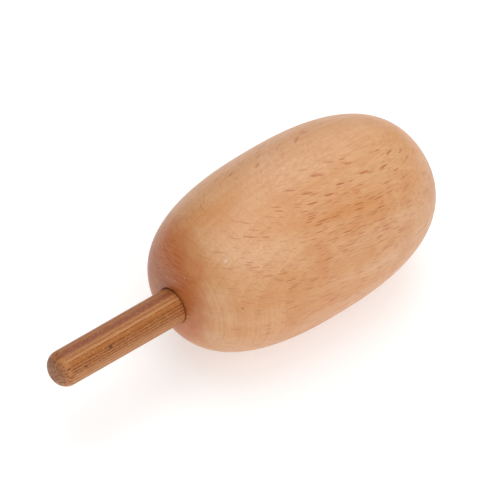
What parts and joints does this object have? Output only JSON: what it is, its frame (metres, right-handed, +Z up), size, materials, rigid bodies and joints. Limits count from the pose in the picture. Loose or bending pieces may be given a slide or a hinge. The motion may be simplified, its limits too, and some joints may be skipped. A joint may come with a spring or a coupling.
{
  "type": "maraca",
  "caption": "Small handled wooden shaker: a smooth turned egg-shaped beech head with a plugged chamber of loose shot, on a round bamboo handle.",
  "frame": {"origin": "on the surface that the shaker lies on, under the middle of its whole length and width", "axes": "X is the turning axis of the head, with the handle towards -X; +Z is up with the shaker on its side"},
  "size_m": [0.1246, 0.049, 0.049],
  "materials": {
    "beech": "sanded and oiled, satin",
    "bamboo": "carbonised, sanded, satin",
    "shot_steel": "plain, dull"
  },
  "bodies": {
    "shaker": {"head": "beech", "end_plug": "beech", "handle": "bamboo"},
    "shot_01": {"shot_01": "shot_steel"},
    "shot_02": {"shot_02": "shot_steel"},
    "shot_03": {"shot_03": "shot_steel"},
    "shot_04": {"shot_04": "shot_steel"},
    "shot_05": {"shot_05": "shot_steel"},
    "shot_06": {"shot_06": "shot_steel"},
    "shot_07": {"shot_07": "shot_steel"},
    "shot_08": {"shot_08": "shot_steel"},
    "shot_09": {"shot_09": "shot_steel"},
    "shot_10": {"shot_10": "shot_steel"},
    "shot_11": {"shot_11": "shot_steel"},
    "shot_12": {"shot_12": "shot_steel"},
    "shot_13": {"shot_13": "shot_steel"},
    "shot_14": {"shot_14": "shot_steel"},
    "shot_15": {"shot_15": "shot_steel"},
    "shot_16": {"shot_16": "shot_steel"},
    "shot_17": {"shot_17": "shot_steel"},
    "shot_18": {"shot_18": "shot_steel"},
    "shot_19": {"shot_19": "shot_steel"},
    "shot_20": {"shot_20": "shot_steel"}
  },
  "joints": [
    {"name": "shot_01_flight", "type": "slide", "parent": "shaker", "child": "shot_01", "axis": [0, 0, 1], "range_m": [0, 0.0156]},
    {"name": "shot_02_flight", "type": "slide", "parent": "shaker", "child": "shot_02", "axis": [0, 0, 1], "range_m": [0, 0.0156]},
    {"name": "shot_03_flight", "type": "slide", "parent": "shaker", "child": "shot_03", "axis": [0, 0, 1], "range_m": [0, 0.0156]},
    {"name": "shot_04_flight", "type": "slide", "parent": "shaker", "child": "shot_04", "axis": [0, 0, 1], "range_m": [0, 0.0156]},
    {"name": "shot_05_flight", "type": "slide", "parent": "shaker", "child": "shot_05", "axis": [0, 0, 1], "range_m": [0, 0.0156]},
    {"name": "shot_06_flight", "type": "slide", "parent": "shaker", "child": "shot_06", "axis": [0, 0, 1], "range_m": [0, 0.0156]},
    {"name": "shot_07_flight", "type": "slide", "parent": "shaker", "child": "shot_07", "axis": [0, 0, 1], "range_m": [0, 0.0156]},
    {"name": "shot_08_flight", "type": "slide", "parent": "shaker", "child": "shot_08", "axis": [0, 0, 1], "range_m": [0, 0.0156]},
    {"name": "shot_09_flight", "type": "slide", "parent": "shaker", "child": "shot_09", "axis": [0, 0, 1], "range_m": [0, 0.01294]},
    {"name": "shot_10_flight", "type": "slide", "parent": "shaker", "child": "shot_10", "axis": [0, 0, 1], "range_m": [0, 0.01294]},
    {"name": "shot_11_flight", "type": "slide", "parent": "shaker", "child": "shot_11", "axis": [0, 0, 1], "range_m": [0, 0.01294]},
    {"name": "shot_12_flight", "type": "slide", "parent": "shaker", "child": "shot_12", "axis": [0, 0, 1], "range_m": [0, 0.01294]},
    {"name": "shot_13_flight", "type": "slide", "parent": "shaker", "child": "shot_13", "axis": [0, 0, 1], "range_m": [0, 0.01294]},
    {"name": "shot_14_flight", "type": "slide", "parent": "shaker", "child": "shot_14", "axis": [0, 0, 1], "range_m": [0, 0.01294]},
    {"name": "shot_15_flight", "type": "slide", "parent": "shaker", "child": "shot_15", "axis": [0, 0, 1], "range_m": [0, 0.01294]},
    {"name": "shot_16_flight", "type": "slide", "parent": "shaker", "child": "shot_16", "axis": [0, 0, 1], "range_m": [0, 0.01294]},
    {"name": "shot_17_flight", "type": "slide", "parent": "shaker", "child": "shot_17", "axis": [0, 0, 1], "range_m": [0, 0.01294]},
    {"name": "shot_18_flight", "type": "slide", "parent": "shaker", "child": "shot_18", "axis": [0, 0, 1], "range_m": [0, 0.01294]},
    {"name": "shot_19_flight", "type": "slide", "parent": "shaker", "child": "shot_19", "axis": [0, 0, 1], "range_m": [0, 0.01294]},
    {"name": "shot_20_flight", "type": "slide", "parent": "shaker", "child": "shot_20", "axis": [0, 0, 1], "range_m": [0, 0.01294]}
  ]
}
